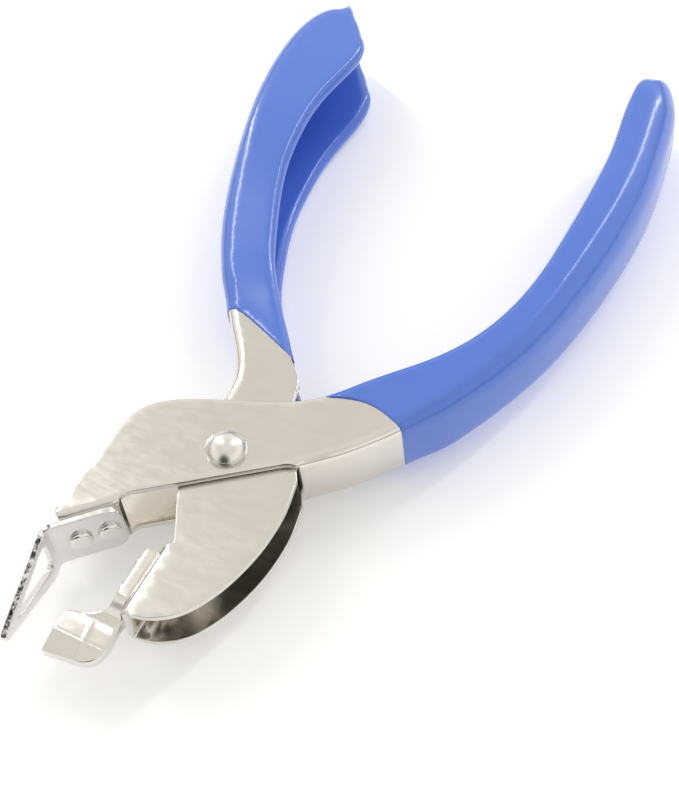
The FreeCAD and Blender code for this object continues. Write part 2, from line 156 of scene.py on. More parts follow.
def fill(loops, extra, grid, keep):
    """Triangles of the region inside loops[0] and outside the others."""
    pts, edges = [], []
    for lp in loops:
        b = len(pts)
        pts += [tuple(p) for p in lp]
        edges += [(b + i, b + (i + 1) % len(lp)) for i in range(len(lp))]
    nb = len(pts)
    closed = [np.vstack([lp, lp[:1]]) for lp in loops]
    lo, hi = loops[0].min(0), loops[0].max(0)
    gx, gy = np.meshgrid(np.arange(lo[0], hi[0], grid), np.arange(lo[1], hi[1], grid * 0.87))
    gx[1::2] += grid / 2
    g = np.stack([gx.ravel(), gy.ravel()], axis=1)
    cand = [e for e in extra if len(e)]
    rings = np.vstack(cand) if cand else np.zeros((0, 2))

    def near(q):
        d = np.full(len(q), 1e9)
        for c in closed:
            d = np.minimum(d, dist(q, c))
        return d

    def ok(q):
        if not len(q):
            return q
        m = inside(q, loops[0])
        for lp in loops[1:]:
            m &= ~inside(q, lp)
        return q[m]

    rings, g = ok(rings), ok(g)
    if len(g):
        g = g[near(g) > keep]
    chosen = []
    seen = {}
    cell = 0.2
    for q in rings:
        k = (int(q[0] // cell), int(q[1] // cell))
        if any(np.hypot(*(q - o)) < 0.035 for i in (-1, 0, 1) for j in (-1, 0, 1) for o in seen.get((k[0] + i, k[1] + j), [])):
            continue
        seen.setdefault(k, []).append(q)
        chosen.append(tuple(q))
    chosen += [tuple(q) for q in g]
    far = [(lo[0] - 20, lo[1] - 20), (hi[0] + 20, lo[1] - 20), (hi[0] + 20, hi[1] + 20), (lo[0] - 20, hi[1] + 20)]
    allp = [Vector(p) for p in pts + chosen + far]
    r = delaunay_2d_cdt(allp, edges, [], 0, 1e-7)
    verts, tris, orig = r[0], r[2], r[3]
    back = {}
    for i, os_ in enumerate(orig):
        for o in os_:
            back[o] = i
    vv = np.array([(v.x, v.y) for v in verts])
    tr = [t for t in tris if len(t) == 3]
    cen = np.array([(vv[t[0]] + vv[t[1]] + vv[t[2]]) / 3 for t in tr])
    m = inside(cen, loops[0])
    for lp in loops[1:]:
        m &= ~inside(cen, lp)
    out = []
    for t, k in zip(tr, m):
        if not k:
            continue
        a, b, c = vv[t[0]], vv[t[1]], vv[t[2]]
        ar = (b[0] - a[0]) * (c[1] - a[1]) - (c[0] - a[0]) * (b[1] - a[1])
        if abs(ar) < 1e-9:
            continue
        out.append(tuple(t) if ar > 0 else (t[0], t[2], t[1]))
    return vv, out, [back[i] for i in range(nb)]


class Build:
    def __init__(self):
        self.v, self.f, self.m = [], [], []

    def verts(self, pts):
        b = len(self.v)
        self.v += [tuple(p) for p in pts]
        return b

    def face(self, idx, mat=0):
        out = []
        for i in idx:
            if not out or out[-1] != i:
                out.append(i)
        if len(set(out)) > 2:
            self.f.append(tuple(out))
            self.m.append(mat)

    def make(self, name, mats, body, nodes, angle=48.0, weighted=True):
        used = sorted({i for f in self.f for i in f})
        new = {o: i for i, o in enumerate(used)}
        me = bpy.data.meshes.new(name)
        me.from_pydata(place([self.v[i] for i in used]), [], [[new[i] for i in f] for f in self.f])
        me.polygons.foreach_set("material_index", self.m)
        me.validate()
        me.update()
        ob = bpy.data.objects.new(name, me)
        bpy.context.scene.collection.objects.link(ob)
        for mt in mats:
            me.materials.append(mt)
        me.shade_smooth()
        me.set_sharp_from_angle(angle=math.radians(angle))
        if weighted:
            w = ob.modifiers.new("weighted", "WEIGHTED_NORMAL")
            w.keep_sharp = True
            w.weight = 60
        if nodes:
            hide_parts(*nodes)
        if body:
            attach(ob, body)
        return ob


def channel(B, runs, half, t, ri, holes=(), grid=2.6, rings=(), lift=None):
    """A channel of bent sheet. runs go round the outline: ("web", points, outside
    bend radius) or ("cut", points, edge rounding). half(x) is its half depth."""
    runs = [(k, np.array(p, float), r) for k, p, r in runs]
    loop = np.vstack([p[:-1] for _, p, _ in runs])
    if area(loop) < 0:
        runs = [(k, p[::-1], r) for k, p, r in runs[::-1]]
    while not (runs[0][0] == "web" and runs[-1][0] == "cut"):
        runs = runs[1:] + runs[:1]
    webs, cuts = [], []
    groups = []
    for k, p, r in runs:
        if k == "web":
            webs.append((p, r))
            groups.append(["web", p, None])
        else:
            cuts.append((p, r))
            if groups[-1][0] == "cut":
                groups[-1][1] = np.vstack([groups[-1][1], p[1:]])
            else:
                groups.append(["cut", p, None])
    # split points one sheet thickness in from each end of a cut run
    tagged = []
    for k, p, _ in groups:
        if k == "web":
            tagged.append((k, p, 0, 0))
            continue
        s = np.concatenate([[0], np.cumsum(np.linalg.norm(np.diff(p, axis=0), axis=1))])
        L = s[-1]

        def at(u):
            i = min(len(s) - 2, max(0, int(np.searchsorted(s, u) - 1)))
            return p[i] + (p[i + 1] - p[i]) * (u - s[i]) / max(1e-9, s[i + 1] - s[i])
        a = [at(u * t) for u in (0, 0.08, 0.25, 0.55, 1.0)]
        b = [at(L - u * t) for u in (1.0, 0.55, 0.25, 0.08, 0)]
        mid = [q for q, u in zip(p, s) if t + 0.12 < u < L - t - 0.12]
        tagged.append((k, np.array(a + mid + b), 4, 4))
    outer, kinds = [], []
    for k, p, _, _ in tagged:
        n = len(p) - 1
        for i in range(n):
            outer.append(p[i])
            if k == "web":
                kinds.append("w")
            else:
                kinds.append("a" if i < 4 else ("b" if i >= n - 4 else "c"))
    outer = np.array(outer)
    N = len(outer)
    # the inside outline
    inner, share = [], []
    pos = 0
    starts = []
    for k, p, _, _ in tagged:
        starts.append(pos)
        pos += len(p) - 1
    G = len(tagged)
    for g, (k, p, _, _) in enumerate(tagged):
        if k == "web":
            prev_p, next_p = tagged[g - 1][1], tagged[(g + 1) % G][1]
            s1, s0 = prev_p[-5], next_p[4]
            o = offset(p, t)
            keep = dist(o, np.vstack([outer, outer[:1]])) > t - 0.03
            keep &= np.linalg.norm(o - s1, axis=1) > 0.35
            keep &= np.linalg.norm(o - s0, axis=1) > 0.35
            for q in o[keep]:
                inner.append(q)
                share.append(-1)
        else:
            n = len(p) - 1
            for i in range(4, n - 3):
                inner.append(p[i])
                share.append((starts[g] + i) % N)
    inner = np.array(inner)
    holes = [np.array(h) for h in holes]

    def drop(q):
        d = np.zeros(len(q))
        for p, r in webs:
            rr = r(q[:, 0]) if callable(r) else r
            d = np.maximum(d, rnd(dist(q, p), rr))
        return d

    def edge(q):
        d = np.zeros(len(q))
        for p, r in cuts:
            d = np.maximum(d, rnd(dist(q, p), r))
        for h in holes:
            d = np.maximum(d, rnd(dist(q, np.vstack([h, h[:1]])), 0.1))
        return d

    def ztop(q):
        z = half(q[:, 0]) - drop(q) - edge(q)
        return z + (lift(q) if lift else 0)

    def zin(q):
        d = np.zeros(len(q))
        for p, r in webs:
            rr = ri(q[:, 0]) if callable(ri) else ri
            d = np.maximum(d, rnd(np.maximum(dist(q, p) - t, 0), rr))
        return half(q[:, 0]) - t - d + edge(q)

    extra, extra_in = [], []
    for p, r in webs:
        rm = float(np.max(r(p[:, 0]))) if callable(r) else r
        for d in [rm * u for u in (0.02, 0.09, 0.22, 0.42, 0.68, 1.0)]:
            o = offset(p, d)
            ok = (np.abs(dist(o, p) - d) < 0.02)
            for c, _ in cuts:
                ok &= dist(o, c) > 0.12
            extra.append(o[ok])
        im = float(np.max(ri(p[:, 0]))) if callable(ri) else ri
        for d in [t + im * u for u in (0.12, 0.45, 1.0)]:
            o = offset(p, d)
            ok = (np.abs(dist(o, p) - d) < 0.02)
            for c, _ in cuts:
                ok &= dist(o, c) > 0.12
            extra_in.append(o[ok])
    for p, r in cuts:
        for d in [r * u for u in ((0.12, 0.45, 1.0) if r < 0.5 else (0.04, 0.16, 0.38, 0.68, 1.0))]:
            o = offset(p, d)
            ok = (np.abs(dist(o, p) - d) < 0.02)
            ok_in = ok.copy()
            for c, _ in webs:
                ok &= dist(o, c) > 0.2
                ok_in &= dist(o, c) > t + 0.1
            for c, rc in cuts:
                if c is not p:
                    ok &= dist(o, c) > 0.06
                    ok_in &= dist(o, c) > 0.06
            extra.append(o[ok])
            extra_in.append(o[ok_in])
    for h in holes:
        c = h.mean(0)
        r = np.linalg.norm(h[0] - c)
        extra += [circle(c, r + 0.1, len(h)), circle(c, r + 0.7, len(h) // 2)]
        extra_in += [circle(c, r + 0.1, len(h))]
    hl = [h[::-1] for h in holes]
    vo, to, bo = fill([outer] + hl, extra, grid, 0.8)
    vi, ti, bi = fill([inner] + hl, extra_in, grid, 0.6)
    zo, zi = ztop(vo), zin(vi)
    ot = B.verts(np.column_stack([vo, zo]))
    ob = B.verts(np.column_stack([vo, -zo]))
    it = B.verts(np.column_stack([vi, zi]))
    ib = B.verts(np.column_stack([vi, -zi]))
    for a, b, c in to:
        B.face((ot + a, ot + b, ot + c))
        B.face((ob + a, ob + c, ob + b))
    for a, b, c in ti:
        B.face((it + a, it + c, it + b))
        B.face((ib + a, ib + b, ib + c))
    inner_of = {s: j for j, s in enumerate(share) if s >= 0}
    k = 0
    while k < N:
        n2 = (k + 1) % N
        if kinds[k] == "w":
            a, b = bo[k], bo[n2]
            B.face((ob + a, ob + b, ot + b, ot + a))
            k += 1
        elif kinds[k] == "c":
            a, b = bo[k], bo[n2]
            c, d = bi[inner_of[k]], bi[inner_of[n2]]
            B.face((it + c, it + d, ot + b, ot + a), 1)
            B.face((ob + a, ob + b, ib + d, ib + c), 1)
            k += 1
        else:
            ids = [(k + j) % N for j in range(5)]
            bot = [ob + bo[i] for i in ids]
            top = [ot + bo[i] for i in ids][::-1]
            if kinds[k] == "a":
                j = bi[inner_of[ids[-1]]]
                B.face(bot + [ib + j, it + j] + top, 1)
            else:
                j = bi[inner_of[ids[0]]]
                B.face(bot + top + [it + j, ib + j], 1)
            k += 4
    M = len(inner)
    for k in range(M):
        n2 = (k + 1) % M
        if share[k] >= 0 and share[n2] >= 0 and (share[n2] - share[k]) % N == 1:
            continue
        a, b = bi[k], bi[n2]
        B.face((ib + a, it + a, it + b, ib + b))
    po, pi = N, M
    for h in hl:
        n = len(h)
        for k in range(n):
            a, b = bo[po + k], bo[po + (k + 1) % n]
            c, d = bi[pi + k], bi[pi + (k + 1) % n]
            B.face((it + c, it + d, ot + b, ot + a), 1)
            B.face((ob + a, ob + b, ib + d, ib + c), 1)
        po += n
        pi += n


def slab(B, loop, ztop, zbot, e, holes=(), grid=1.2, mapping=None, mat_edge=1):
    """A solid between two height fields over a closed outline, edges rounded to e."""
    loop = np.array(loop, float)
    if area(loop) < 0:
        loop = loop[::-1]
    hl = []
    for h in holes:
        h = np.array(h, float)
        hl.append(h[::-1] if area(h) > 0 else h)
    closed = [np.vstack([q, q[:1]]) for q in [loop] + hl]
    extra = []
    for c in closed:
        for d in (0.12 * e, 0.45 * e, e):
            o = offset(c, d)
            extra.append(o[np.abs(dist(o, c) - d) < 0.02])
    v, tr, bd = fill([loop] + hl, extra, grid, max(0.45, e * 1.3))
    ed = np.zeros(len(v))
    for c in closed:
        ed = np.maximum(ed, rnd(dist(v, c), e))
    zt, zb = ztop(v) - ed, zbot(v) + ed
    mp = mapping or (lambda q, w: np.column_stack([q, w]))
    a0 = B.verts(mp(v, zt))
    b0 = B.verts(mp(v, zb))
    for a, b, c in tr:
        B.face((a0 + a, a0 + b, a0 + c))
        B.face((b0 + a, b0 + c, b0 + b))
    p = 0
    for lp in [loop] + hl:
        n = len(lp)
        for k in range(n):
            a, b = bd[p + k], bd[p + (k + 1) % n]
            me_ = mat_edge(p == 0, lp[k]) if callable(mat_edge) else mat_edge
            B.face((b0 + a, b0 + b, a0 + b, a0 + a), me_)
        p += n


def lathe(B, profile, centre, axis, n=56, mat=0):
    """profile: (radius, height) from the bottom of the axis to its top."""
    ax = Vector(axis).normalized()
    u = ax.orthogonal().normalized()
    w = ax.cross(u)
    c = Vector(centre)
    rows = []
    for r, h in profile:
        if r < 1e-6:
            rows.append([B.verts([c + ax * h])])
        else:
            pts = [c + ax * h + (u * math.cos(a) + w * math.sin(a)) * r for a in np.linspace(0, 2 * math.pi, n, endpoint=False)]
            b = B.verts(pts)
            rows.append([b + i for i in range(n)])
    for r0, r1 in zip(rows, rows[1:]):
        for i in range(n):
            j = (i + 1) % n
            a, b = r0[i % len(r0)], r0[j % len(r0)]
            c2, d = r1[j % len(r1)], r1[i % len(r1)]
            if len(r0) == 1:
                B.face((a, c2, d), mat)
            elif len(r1) == 1:
                B.face((a, b, d), mat)
            else:
                B.face((a, b, c2, d), mat)


# --------------------------------------------------------------- materials
def nodes_of(name):
    m = bpy.data.materials.new(name)
    m.use_nodes = True
    nt = m.node_tree
    nt.nodes.clear()
    out = nt.nodes.new("ShaderNodeOutputMaterial")
    bs = nt.nodes.new("ShaderNodeBsdfPrincipled")
    nt.links.new(bs.outputs[0], out.inputs[0])
    co = nt.nodes.new("ShaderNodeTexCoord")
    return m, nt, bs, co


def noise(nt, co, scale, detail=4.0, stretch=None, rough=0.5, kind="ShaderNodeTexNoise"):
    mp = nt.nodes.new("ShaderNodeMapping")
    nt.links.new(co.outputs["Object"], mp.inputs["Vector"])
    if stretch:
        mp.inputs["Scale"].default_value = stretch
    n = nt.nodes.new(kind)
    nt.links.new(mp.outputs[0], n.inputs["Vector"])
    n.inputs["Scale"].default_value = scale
    if "Detail" in n.inputs:
        n.inputs["Detail"].default_value = detail
        n.inputs["Roughness"].default_value = rough
    return n, mp


def ramp(nt, src, stops):
    r = nt.nodes.new("ShaderNodeValToRGB")
    nt.links.new(src, r.inputs[0])
    e = r.color_ramp.elements
    while len(e) < len(stops):
        e.new(0.5)
    for el, (p, c) in zip(e, stops):
        el.position = p
        el.color = (c[0], c[1], c[2], 1.0) if hasattr(c, "__len__") else (c, c, c, 1.0)
    return r


def bump(nt, bs, sources):
    last = None
    for out, strength, distance in sources:
        b = nt.nodes.new("ShaderNodeBump")
        b.inputs["Strength"].default_value = strength
        b.inputs["Distance"].default_value = distance
        nt.links.new(out, b.inputs["Height"])
        if last:
            nt.links.new(last.outputs[0], b.inputs["Normal"])
        last = b
    nt.links.new(last.outputs[0], bs.inputs["Normal"])


def nickel(name, tint=(0.80, 0.765, 0.715), rough=(0.10, 0.22), wave=0.12, brushed=0.0):
    m, nt, bs, co = nodes_of(name)
    bs.inputs["Metallic"].default_value = 1.0
    big, _ = noise(nt, co, 55.0, 3.0)
    col = ramp(nt, big.outputs["Fac"], [(0.3, [c * 0.94 for c in tint]), (0.7, tint)])
    nt.links.new(col.outputs[0], bs.inputs["Base Color"])
    fine, _ = noise(nt, co, 900.0, 5.0, stretch=(1.0, 0.35, 1.0), rough=0.65)
    rr = ramp(nt, fine.outputs["Fac"], [(0.35, rough[0]), (0.75, rough[1])])
    nt.links.new(rr.outputs[0], bs.inputs["Roughness"])
    scr, _ = noise(nt, co, 2600.0, 2.0, stretch=(0.06, 1.0, 1.0) if brushed else (0.25, 1.0, 0.6), rough=0.5)
    wav, _ = noise(nt, co, 26.0, 1.5)
    bump(nt, bs, [(wav.outputs["Fac"], wave, 0.0012), (scr.outputs["Fac"], 0.02 + brushed, 0.00003)])
    return m


def sheared(name):
    m, nt, bs, co = nodes_of(name)
    bs.inputs["Metallic"].default_value = 1.0
    n1, _ = noise(nt, co, 1100.0, 4.0, stretch=(1.0, 1.0, 0.45), rough=0.7)
    col = ramp(nt, n1.outputs["Fac"], [(0.42, (0.02, 0.02, 0.025)), (0.50, (0.30, 0.29, 0.30)), (0.58, (0.85, 0.83, 0.82))])
    nt.links.new(col.outputs[0], bs.inputs["Base Color"])
    rr = ramp(nt, n1.outputs["Fac"], [(0.3, 0.55), (0.7, 0.25)])
    nt.links.new(rr.outputs[0], bs.inputs["Roughness"])
    n2, _ = noise(nt, co, 700.0, 3.0, rough=0.6)
    bump(nt, bs, [(n1.outputs["Fac"], 0.5, 0.00008), (n2.outputs["Fac"], 0.4, 0.00015)])
    return m


def vinyl(name, deep=(0.080, 0.186, 0.66), light=(0.094, 0.206, 0.70)):
    m, nt, bs, co = nodes_of(name)
    n1, _ = noise(nt, co, 30.0, 2.0)
    col = ramp(nt, n1.outputs["Fac"], [(0.3, deep), (0.7, light)])
    nt.links.new(col.outputs[0], bs.inputs["Base Color"])
    n2, _ = noise(nt, co, 420.0, 4.0, rough=0.6)
    rr = ramp(nt, n2.outputs["Fac"], [(0.3, 0.19), (0.75, 0.23)])
    nt.links.new(rr.outputs[0], bs.inputs["Roughness"])
    bs.inputs["IOR"].default_value = 1.52
    bs.inputs["Specular IOR Level"].default_value = 0.5
    bs.inputs["Coat Weight"].default_value = 0.35
    bs.inputs["Coat Roughness"].default_value = 0.08
    bs.inputs["Subsurface Weight"].default_value = 0.06
    bs.inputs["Subsurface Radius"].default_value = (0.0006, 0.0008, 0.0016)
    bs.inputs["Subsurface Scale"].default_value = 1.0
    n3, _ = noise(nt, co, 95.0, 2.0)
    n4, _ = noise(nt, co, 2200.0, 2.0)
    bump(nt, bs, [(n3.outputs["Fac"], 0.012, 0.0006), (n4.outputs["Fac"], 0.01, 0.00001)])
    return m


STEEL = nickel("nickel_plate", tint=(0.775, 0.742, 0.692), rough=(0.13, 0.21), wave=0.008)
EDGE = nickel("cut_edge", tint=(0.78, 0.76, 0.73), rough=(0.14, 0.30), wave=0.05)
ROUGH = sheared("sheared_edge")
JAW = nickel("jaw_plate", tint=(0.80, 0.785, 0.78), rough=(0.12, 0.30), wave=0.2, brushed=0.1)
RIVET = nickel("rivet_plate", tint=(0.84, 0.82, 0.79), rough=(0.07, 0.16), wave=0.05)
DOME = nickel("dome_plate", tint=(0.83, 0.80, 0.755), rough=(0.24, 0.32), wave=0.03)
WIRE = nickel("spring_wire", tint=(0.55, 0.54, 0.53), rough=(0.2, 0.35), wave=0.0, brushed=0.1)
VINYL = vinyl("blue_vinyl")

# ----------------------------------------------------------------- outlines
OUTER_HALF = [(-60.0, 5.8), (16.0, 5.8), (30.0, 6.0), (45.0, 6.5), (60.0, 7.0), (75.0, 7.2), (95.0, 7.0), (130.0, 6.2)]
INNER_HALF = [(-60.0, 4.55), (27.0, 4.55), (34.0, 4.9), (41.0, 5.8), (49.0, 7.0), (57.0, 8.0), (66.0, 8.4), (76.0, 8.1),
              (86.0, 7.3), (110.0, 5.6)]


def half_of(table, grow=0.0, soft=3.0):
    xs, ys = [a for a, _ in table], [b for _, b in table]

    def f(x):
        x = np.asarray(x, float)
        return sum(np.interp(x + soft * k, xs, ys) for k in (-1, -0.5, 0, 0.5, 1)) / 5.0 + grow
    return f


OW = [(2.6, -11.9), (4.0, -13.4), (6.6, -16.2), (10.4, -19.6), (15.2, -23.2), (22.6, -27.6), (30.4, -31.4), (40.0, -34.9),
      (50.0, -37.0), (60.0, -38.1), (70.0, -38.4), (80.0, -37.7), (90.0, -35.9), (96.0, -34.2), (98.9, -32.6)]
O_TIP = [(98.9, -32.6), (100.4, -30.8), (99.9, -28.9)]
OI = [(99.9, -28.9), (96.0, -29.1), (84.0, -30.3), (72.0, -31.1), (61.0, -31.2), (50.0, -30.7), (41.3, -28.9), (34.8, -26.2),
      (28.0, -21.5), (22.4, -16.3), (16.8, -10.6)]
O_TOP = [(16.8, -10.6), (14.4, -7.9), (12.4, -4.9), (10.9, -1.9), (9.5, 1.6), (8.2, 4.9), (6.8, 8.4), (5.2, 11.7), (3.2, 14.7),
         (1.5, 16.3), (-0.7, 17.4), (-3.4, 18.1), (-7.6, 18.6), (-12.6, 18.8), (-17.5, 19.2), (-20.9, 19.1)]
WEB_ROOT, WEB_TIP = np.array([-15.7, 10.75]), np.array([-22.3, 17.35])
IW = [(9.0, 6.4), (12.0, 6.6), (15.6, 7.9), (18.5, 9.8), (21.7, 12.4), (25.0, 14.9), (32.0, 19.4), (38.1, 23.0), (46.8, 26.7),
      (56.5, 29.8), (67.8, 32.7), (77.4, 34.1), (84.6, 34.2), (88.8, 33.3), (91.4, 31.7), (92.6, 29.9)]
I_END = [(92.6, 29.9), (85.2, 22.6)]
II = [(85.2, 22.6), (83.6, 21.5), (81.2, 21.1), (76.0, 21.6), (68.8, 22.3), (61.2, 21.8), (54.5, 20.6), (48.8, 18.8),
      (41.0, 15.5), (36.0, 13.0), (30.0, 8.7), (24.0, 3.6), (18.9, -1.6)]
I_NECK = [(18.9, -1.6), (17.6, -2.9), (15.6, -3.9), (12.8, -4.7), (10.2, -6.1)]
I_BACK = [(0.4, -12.4), (-1.8, -12.9), (-5.0, -13.5), (-9.0, -13.7), (-12.8, -13.5), (-17.3, -12.7), (-21.6, -11.4),
          (-25.2, -9.7), (-27.4, -8.2), (-29.2, -6.2), (-30.5, -3.9), (-31.2, -1.4), (-31.4, 0.9)]
I_EYE = [(-8.4, 4.3), (-4.2, 6.5), (0.4, 7.7), (5.0, 7.6), (9.0, 6.4)]
E = 0.14



def steel_out(x):
    return np.interp(x, [16.0, 34.0, 60.0, 96.0], [1.5, 2.9, 4.3, 4.7])


def steel_in(x):
    return np.interp(x, [25.0, 40.0, 60.0, 90.0], [1.5, 1.9, 2.4, 2.7])


# ------------------------------------------------------------- outer lever
B = Build()
jaw_cut = join([spline([(-20.9, 19.1), (-21.9, 18.4)], 0.5), spline([(-21.9, 18.4), tuple(WEB_TIP)], 0.5)])
notch = join([spline([tuple(WEB_ROOT), (-14.9, 11.1)], 0.5), spline([(-14.9, 11.1), (-13.5, 10.2)], 0.6),
              spline([(-13.5, 10.2), (1.5, -9.6)], 0.9), spline([(1.5, -9.6), (2.6, -11.9)], 0.6)])
channel(B, [("web", join([spline(OW), spline(O_TIP, 0.5)]), steel_out), ("cut", join([spline(OI), spline(O_TOP)]), E),
            ("cut", jaw_cut, E), ("web", spline([tuple(WEB_TIP), tuple(WEB_ROOT)], 0.7), 1.3), ("cut", notch, E)],
        half_of(OUTER_HALF), T, lambda x: np.maximum(0.4, steel_out(x) - T), holes=[circle((0, 0), 2.42, 40)], grid=0.9)
B.make("lever_outer", [STEEL, EDGE], "outer_half", ["outer_lever"], weighted=False)

# ------------------------------------------------------------- inner lever
B = Build()
eye = join([spline([(-19.2, 0.9), (-17.5, -0.6)], 0.6), spline([(-17.5, -0.6), (-8.4, 4.3)], 0.8), spline(I_EYE)])
neck = join([spline(II), spline(I_NECK), spline([(10.2, -6.1), (0.4, -12.4)], 0.8), spline(I_BACK)])
channel(B, [("web", spline(IW), steel_in), ("cut", spline(I_END), E), ("cut", neck, E),
            ("web", spline([(-31.4, 0.9), (-19.2, 0.9)], 0.8), 1.5), ("cut", eye, E)],
        half_of(INNER_HALF), T, lambda x: np.maximum(0.4, steel_in(x) - T), holes=[circle((0, 0), 2.47, 40)])
B.make("lever_inner", [STEEL, EDGE], "inner_half", ["inner_lever"])


# -------------------------------------------------------------------- grips
def taper(points, from_start=True, low=0.3, run=9.0):
    s = np.concatenate([[0], np.cumsum(np.linalg.norm(np.diff(points, axis=0), axis=1))])
    u = s if from_start else s[-1] - s
    k = np.clip(u / run, 0, 1)
    return V * (low + (1 - low) * k * k * (3 - 2 * k))


B = Build()
ow = spline(OW[4:])
owv = offset(ow, -taper(ow))
oi = spline(OI + [(14.7, -8.2)])
oiv = offset(oi, -taper(oi, False))
oiv = oiv[5:]
grow_tip = np.clip((oiv[:, 0] - 78.0) / 14.0, 0, 1)
oiv[:, 1] += 0.75 * grow_tip * grow_tip * (3 - 2 * grow_tip)
mouth = spline([tuple(oiv[-1]), (16.2, -11.6), (17.1, -16.0), (16.4, -20.0), tuple(owv[0])], 0.6)
mouth_line = mouth
tip = spline([tuple(owv[-1]), (101.05, -31.7), (101.3, -30.4), (101.0, -29.2), (99.7, -28.1), tuple(oiv[0])], 0.45)


def lift_outer(q):
    d = dist(q, mouth_line)
    k = np.clip(d / 8.0, 0, 1)
    return -V * 0.62 * (1 - k * k * (3 - 2 * k))


def ro_outer(x):
    return np.interp(x, [14.0, 34.0, 60.0, 96.0], [2.1, 3.8, 5.2, 5.6])


channel(B, [("web", join([owv, tip[:len(tip) // 2]]), ro_outer), ("cut", join([tip[len(tip) // 2 - 1:], oiv]), 1.44), ("cut", mouth, 0.28)],
        half_of(OUTER_HALF, V), T + 2 * V, lambda x: np.maximum(0.8, ro_outer(x) - T - 2 * V), lift=lift_outer, grid=0.8)
B.make("grip_outer", [VINYL, VINYL], "outer_half", ["outer_lever_grip"], angle=60, weighted=False)

B = Build()
iw = spline(IW[5:])
iwv = offset(iw, taper(iw))
ii = spline(II)
iiv = offset(ii, taper(ii, False))
iiv = iiv[iiv[:, 0] > 20.2]
iiv = iiv[iiv[:, 0] < 82.6]
end = spline([tuple(iwv[-1]), (94.2, 29.3), (92.5, 27.3), (89.4, 24.4), (87.2, 22.6), (85.7, 21.3), (84.2, 20.6), tuple(iiv[0])], 0.5)
mouth_in = spline([tuple(iiv[-1]), (21.2, 1.6), (22.4, 4.6), (23.9, 8.6), (25.0, 12.0), (25.2, 14.0), tuple(iwv[0])], 0.6)


def lift_inner(q):
    d = dist(q, mouth_in)
    k = np.clip(d / 8.0, 0, 1)
    return -V * 0.62 * (1 - k * k * (3 - 2 * k))


def ro_inner(x):
    return np.interp(x, [22.0, 40.0, 60.0, 90.0], [1.9, 2.6, 3.2, 3.4])


channel(B, [("web", iwv, ro_inner), ("cut", join([end, iiv]), 1.4), ("cut", mouth_in, 0.28)],
        half_of(INNER_HALF, V), T + 2 * V, 1.0, lift=lift_inner, grid=0.8)
B.make("grip_inner", [VINYL, VINYL], "inner_half", ["inner_lever_grip"], angle=60, weighted=False)

# -------------------------------------------------------------- pivot rivet
B = Build()
zf, r1, hh = 5.8, 3.3, 2.6
rim = 0.8
cz = ((rim) ** 2 + r1 ** 2 - hh ** 2) / (2 * (rim - hh))
rad = hh - cz
a1 = math.asin(r1 / rad)
dome = [(rad * math.sin(a), zf + cz + rad * math.cos(a)) for a in np.linspace(a1, 0, 16)]
dome[-1] = (0.0, zf + hh)
top = [(2.4, zf), (r1 - 0.12, zf + 0.01), (r1 - 0.02, zf + 0.12)] + dome
low = [(r, -z) for r, z in top[::-1]]
lathe(B, low + top, (0, 0, 0), (0, 0, 1), 72)
B.make("rivet_pivot", [DOME], "outer_half", ["pivot_rivet"], angle=40)

# --------------------------------------------------------------- window jaw
JD = (WEB_TIP - WEB_ROOT) / np.linalg.norm(WEB_TIP - WEB_ROOT)
OUTN = np.array([-JD[1], JD[0]])
w_root = WEB_ROOT + JD * 0.1
w_bend = WEB_ROOT + JD * 12.3
w_tip = np.array([-42.0, 16.8])
LD = (w_tip - w_bend) / np.linalg.norm(w_tip - w_bend)
turn = math.atan2(LD[1], LD[0]) % (2 * math.pi) - math.atan2(JD[1], JD[0])
RBASE = 2.1
tl = RBASE * math.tan(turn / 2)
L1 = np.linalg.norm(w_bend - w_root) - tl
LA = RBASE * turn
arc_c = w_root + JD * L1 + OUTN * RBASE
S_B = L1 + LA / 2


def ribbon(q, w):
    """q: (distance along the strip, z); w: height over its base face."""
    out = np.empty((len(q), 3))
    for i, (s, z) in enumerate(q):
        if s < L1:
            b, n = w_root + JD * s, OUTN
        elif s < L1 + LA:
            a = (s - L1) / RBASE
            n = np.array([OUTN[0] * math.cos(a) - OUTN[1] * math.sin(a), OUTN[0] * math.sin(a) + OUTN[1] * math.cos(a)])
            b = arc_c - n * RBASE
        else:
            n = np.array([-LD[1], LD[0]])
            b = w_bend + LD * (tl + s - L1 - LA)
        out[i] = (b[0] + n[0] * w[i], b[1] + n[1] * w[i], z)
    return out


xb = w_bend[0]


def S(x):
    return S_B + (xb - x) / abs(LD[0])


SMAX = L1 + LA + np.linalg.norm(w_tip - w_bend) - tl
rc = 2.1
corner_f = [(rc - rc * math.sin(a), 5.3 - rc + rc * math.cos(a)) for a in np.linspace(math.pi / 2, 0, 7)]
corner_r = [(s, -z) for s, z in corner_f[::-1]]
front = spline([corner_f[-1], (S(xb - 1.2), 5.3)], 0.6)
tapf = spline([(S(xb - 1.2), 5.3), (S(xb - 2.6), 5.05), (S(xb - 4.0), 4.55), (S(-33.6), 3.1), (S(-38.4), 1.85), (S(-40.6), 1.2), (S(-41.6), 0.75), (SMAX, 0.0)], 0.5)
tapr = spline([(SMAX, 0.0), (S(-41.6), -0.75), (S(-40.6), -1.2), (S(-38.4), -2.05), (S(-33.6), -3.8), (S(xb - 4.0), -5.9),
               (S(xb - 2.4), -6.28), (S(xb - 1.2), -6.1), (S(xb + 0.2), -5.55), (S(xb + 1.6), -5.3)], 0.5)
rear = spline([(S(xb + 1.6), -5.3), corner_r[0]], 0.6)
loop = np.vstack([np.array(corner_f[:-1]), front[:-1], tapf[:-1], tapr[:-1], rear[:-1], np.array(corner_r[:-1])])
hole = [(xb - 1.8, 2.4), (xb - 2.4, 3.4), (xb - 3.4, 3.5), (-37.2, 0.5), (-37.9, 0.0), (-37.2, -0.5), (xb - 3.4, -3.6), (xb - 2.4, -3.5), (xb - 1.8, -2.5)]
hole = chaikin([(S(x), z) for x, z in hole], 2)
